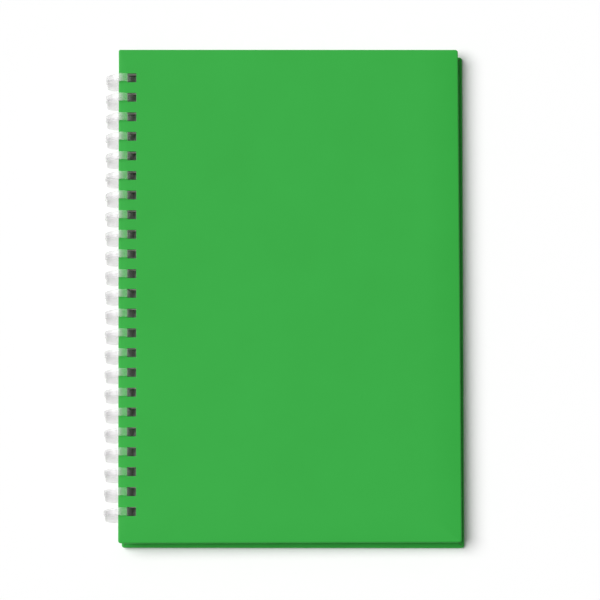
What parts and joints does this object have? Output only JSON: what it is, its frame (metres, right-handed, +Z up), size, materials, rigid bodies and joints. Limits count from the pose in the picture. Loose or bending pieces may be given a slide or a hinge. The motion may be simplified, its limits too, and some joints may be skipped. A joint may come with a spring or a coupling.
{
  "type": "comb-bound notebook",
  "caption": "Closed hardcover notebook with green paper-wrapped boards, a page block and a clear plastic comb whose fingers pass through a row of square holes.",
  "frame": {"origin": "on the table, under the middle of the whole book's bounding box", "axes": "+Z up out of the front cover, +Y up the page from tail to head, +X from the comb to the fore edge"},
  "size_m": [0.1538, 0.2142, 0.0121],
  "materials": {
    "comb_plastic": "translucent, slightly frosted",
    "cover_paper": "matte coated, plain green",
    "greyboard": "raw, fibrous",
    "lining_paper": "uncoated white",
    "page_paper": "uncoated white, cut edges"
  },
  "bodies": {
    "back": {"back_wrap": "cover_paper", "back_board": "greyboard", "back_lining": "lining_paper", "binding_comb": "comb_plastic"},
    "pages": {"page_block": "page_paper"},
    "front": {"front_wrap": "cover_paper", "front_board": "greyboard", "front_lining": "lining_paper"}
  },
  "joints": [
    {"name": "page_turn", "type": "hinge", "parent": "back", "child": "pages", "pos_m": [-0.07043, 0, 0.0056], "axis": [0, -1, 0], "range_deg": [0, 180.9]},
    {"name": "front_turn", "type": "hinge", "parent": "pages", "child": "front", "pos_m": [-0.07043, 0, 0.0056], "axis": [0, -1, 0], "range_deg": [0, 180.9]}
  ]
}
